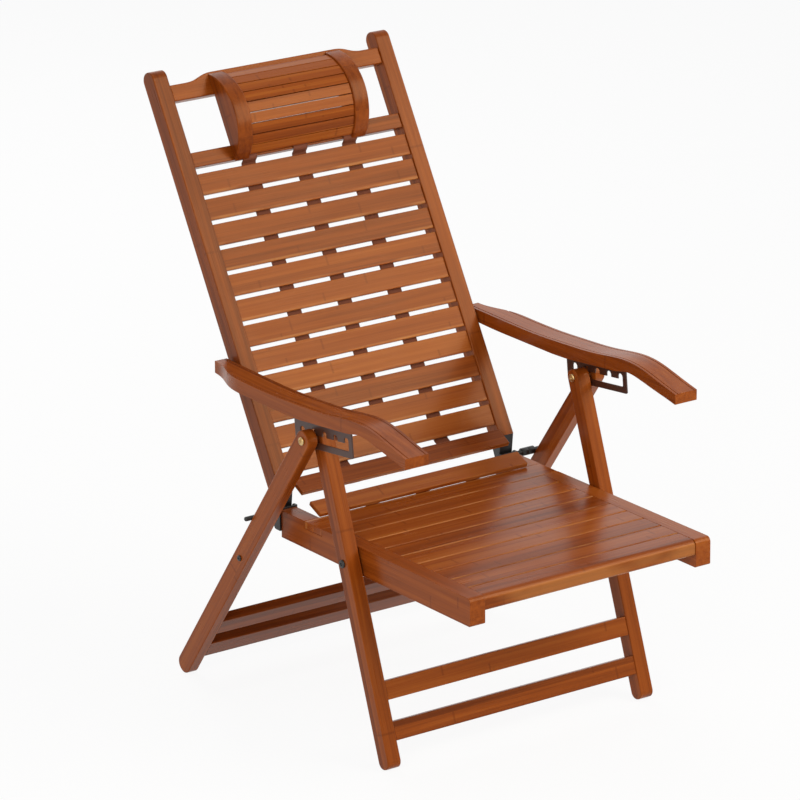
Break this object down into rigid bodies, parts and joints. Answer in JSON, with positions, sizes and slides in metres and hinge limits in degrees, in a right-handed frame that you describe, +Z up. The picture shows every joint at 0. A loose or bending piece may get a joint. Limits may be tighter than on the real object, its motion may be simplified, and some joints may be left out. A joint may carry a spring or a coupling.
{
  "type": "folding recliner",
  "caption": "Folding bamboo recliner with a slatted seat and back, rolled headrest, curved armrests with notch plates and a crossing leg frame.",
  "frame": {"origin": "on the floor, under the middle of the chair's width and depth", "axes": "+Z up, -Y the way the chair faces, +X to its left-hand side as seen from the front"},
  "size_m": [0.631, 0.9378, 1.0158],
  "materials": {
    "frame_bamboo": "gloss varnish",
    "slat_bamboo": "gloss varnish",
    "strap_webbing": "woven",
    "black_steel": "satin",
    "brown_steel": "satin",
    "brass": "satin"
  },
  "bodies": {
    "front_frame": {"front_leg_left": "frame_bamboo", "front_leg_right": "frame_bamboo", "front_crossbar_upper": "frame_bamboo", "front_crossbar_lower": "frame_bamboo", "seat_pivot_bolts": "black_steel"},
    "rear_frame": {"rear_leg_left": "frame_bamboo", "rear_leg_right": "frame_bamboo", "rear_crossbar_upper": "frame_bamboo", "rear_crossbar_lower": "frame_bamboo", "stop_screws": "black_steel"},
    "seat": {"seat_rail_left": "frame_bamboo", "seat_rail_right": "frame_bamboo", "seat_front_board": "frame_bamboo", "seat_slat_1": "slat_bamboo", "seat_slat_2": "slat_bamboo", "seat_slat_3": "slat_bamboo", "seat_slat_4": "slat_bamboo", "seat_slat_5": "slat_bamboo", "seat_slat_6": "slat_bamboo", "seat_slat_7": "slat_bamboo", "seat_slat_8": "slat_bamboo", "seat_rear_board": "frame_bamboo", "seat_batten_left": "frame_bamboo", "seat_batten_right": "frame_bamboo", "back_slat_14": "slat_bamboo", "strap_ends": "strap_webbing", "hinge_brackets": "black_steel", "rest_rods": "black_steel"},
    "back_hinge": {"hinge_pins": "black_steel"},
    "back": {"back_stile_left": "frame_bamboo", "back_stile_right": "frame_bamboo", "crest_rail": "frame_bamboo", "lower_head_rail": "frame_bamboo", "back_slat_01": "slat_bamboo", "back_slat_02": "slat_bamboo", "back_slat_03": "slat_bamboo", "back_slat_04": "slat_bamboo", "back_slat_05": "slat_bamboo", "back_slat_06": "slat_bamboo", "back_slat_07": "slat_bamboo", "back_slat_08": "slat_bamboo", "back_slat_09": "slat_bamboo", "back_slat_10": "slat_bamboo", "back_slat_11": "slat_bamboo", "back_slat_12": "slat_bamboo", "back_slat_13": "slat_bamboo", "back_straps": "strap_webbing", "headrest_side_left": "frame_bamboo", "headrest_side_right": "frame_bamboo", "headrest_slats": "slat_bamboo", "stile_brackets": "black_steel", "arm_pivot_bolts": "brass"},
    "leg_hinge": {"latch_bolts": "brass"},
    "arm_link": {"arm_spacers": "brass"},
    "armrests": {"armrest_left": "frame_bamboo", "armrest_right": "frame_bamboo", "notch_plate_left": "brown_steel", "notch_plate_right": "brown_steel"}
  },
  "joints": [
    {"name": "fold", "type": "hinge", "parent": "front_frame", "child": "seat", "pos_m": [0, -0.1586, 0.326], "axis": [1, 0, 0], "range_deg": [0, 55]},
    {"name": "rear_leg_fold", "type": "hinge", "parent": "front_frame", "child": "rear_frame", "pos_m": [0, -0.08653, 0.524], "axis": [1, 0, 0], "range_deg": [-47.1, 0.1]},
    {"name": "arm_fold", "type": "hinge", "parent": "front_frame", "child": "leg_hinge", "pos_m": [0, -0.08653, 0.524], "axis": [1, 0, 0], "range_deg": [-0.1, 52.2]},
    {"name": "back_link_fold", "type": "hinge", "parent": "leg_hinge", "child": "back_hinge", "pos_m": [0, 0.1934, 0.562], "axis": [1, 0, 0], "range_deg": [-42.6, 0.1]},
    {"name": "recline", "type": "hinge", "parent": "back_hinge", "child": "back", "pos_m": [0, 0.0734, 0.322], "axis": [1, 0, 0], "range_deg": [-25.5, 8.5]},
    {"name": "arm_lift", "type": "hinge", "parent": "leg_hinge", "child": "arm_link", "pos_m": [0, 0.0734, 0.322], "axis": [1, 0, 0], "range_deg": [-25.6, 8.6]},
    {"name": "armrest_tilt", "type": "hinge", "parent": "arm_link", "child": "armrests", "pos_m": [0, 0.1934, 0.562], "axis": [1, 0, 0], "range_deg": [-5.4, 15.9]}
  ],
  "couplings": [
    {"joint": "rear_leg_fold", "follows": "fold", "ratio": -0.853},
    {"joint": "arm_fold", "follows": "fold", "ratio": 0.9467},
    {"joint": "back_link_fold", "follows": "fold", "ratio": -0.7714},
    {"joint": "arm_lift", "follows": "recline", "ratio": 1},
    {"joint": "armrest_tilt", "follows": "recline", "ratio": -0.62}
  ]
}
